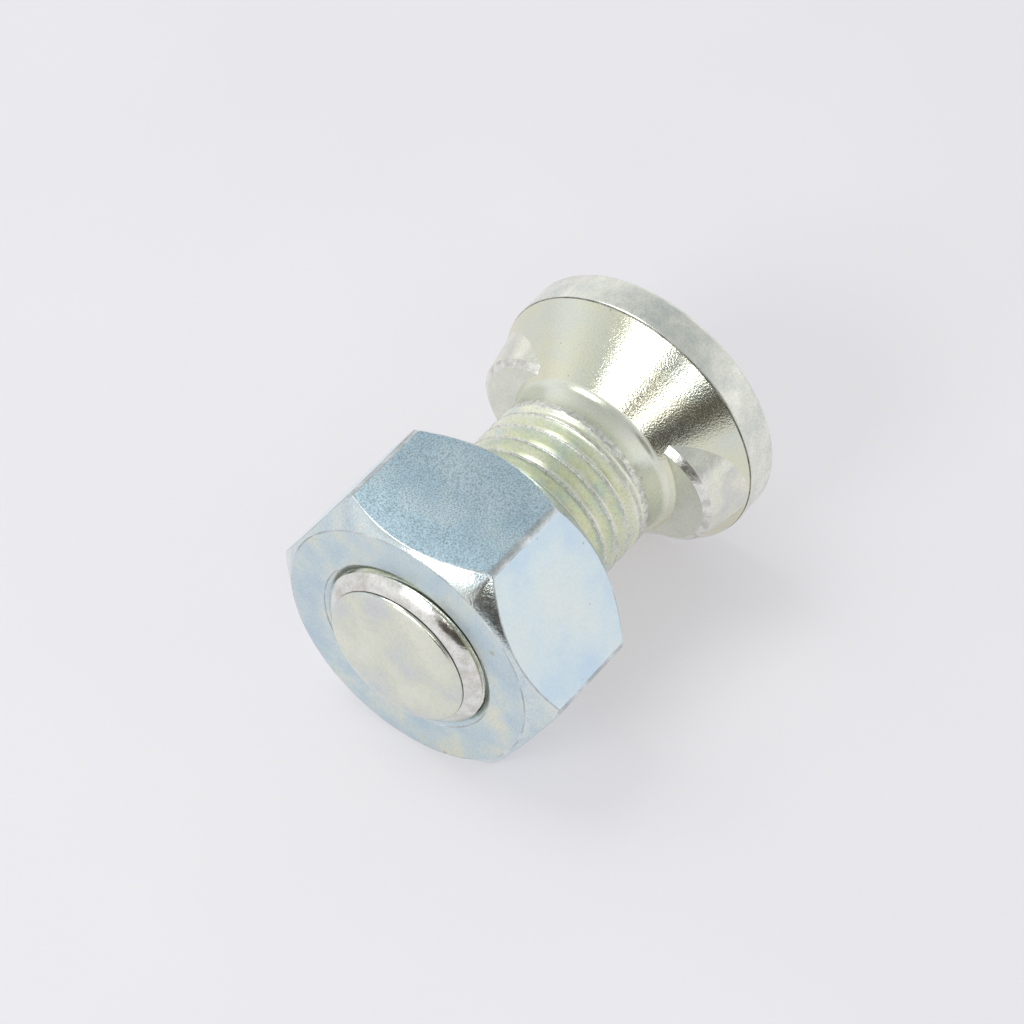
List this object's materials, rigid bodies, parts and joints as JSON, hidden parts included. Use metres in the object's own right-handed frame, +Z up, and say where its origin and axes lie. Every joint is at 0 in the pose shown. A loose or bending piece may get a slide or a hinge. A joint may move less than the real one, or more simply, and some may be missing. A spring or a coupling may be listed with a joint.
{
  "type": "plow bolt with nut",
  "caption": "Countersunk flat-head plow bolt with two nibs under the head, a threaded shank and a hexagon nut.",
  "frame": {"origin": "middle of the object's footprint, on the floor it lies on", "axes": "+Z up, +X along the bolt from the tip to the head; the bolt's axis rises 1.04 degrees towards the head"},
  "size_m": [0.033, 0.0254, 0.023],
  "materials": {
    "bolt_zinc": "bright zinc plate with a pale yellow tint",
    "nut_zinc": "satin zinc plate with a pale blue tint"
  },
  "bodies": {
    "bolt": {"plow_bolt": "bolt_zinc"},
    "nut": {"hex_nut": "nut_zinc"}
  },
  "joints": [
    {"name": "nut_travel", "type": "slide", "parent": "bolt", "child": "nut", "axis": [0.9998, 0, 0.0181], "range_m": [-0.015, 0.009]}
  ]
}
